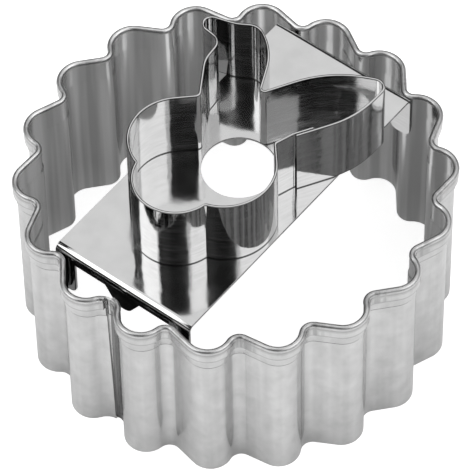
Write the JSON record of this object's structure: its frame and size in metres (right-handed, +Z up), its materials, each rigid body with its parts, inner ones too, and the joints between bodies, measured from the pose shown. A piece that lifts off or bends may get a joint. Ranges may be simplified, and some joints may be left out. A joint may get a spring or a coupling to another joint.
{
  "type": "linzer cookie cutter",
  "caption": "Fluted round cookie cutter with a hemmed rim and a loose strip insert that carries a rabbit's-head cutter.",
  "frame": {"origin": "on the ring's axis, in the plane of its cutting edge, on which it stands", "axes": "+Z up along the ring's axis; +X along the insert strip, from the rabbit's chin towards its ears; +Y across the strip, towards the folded ear"},
  "size_m": [0.0474, 0.048, 0.0313],
  "materials": {
    "satin_tinplate": "satin tin-plated steel sheet, drawn marks running up the flutes",
    "polished_tinplate": "mirror-bright tin-plated steel strip"
  },
  "bodies": {
    "ring": {"ring_band": "satin_tinplate"},
    "insert": {"insert_plate": "polished_tinplate", "rabbit_band": "polished_tinplate"}
  },
  "joints": [
    {"name": "insert_slide", "type": "slide", "parent": "ring", "child": "insert", "axis": [0, 0, 1], "range_m": [-0.0159, 0.008]}
  ]
}
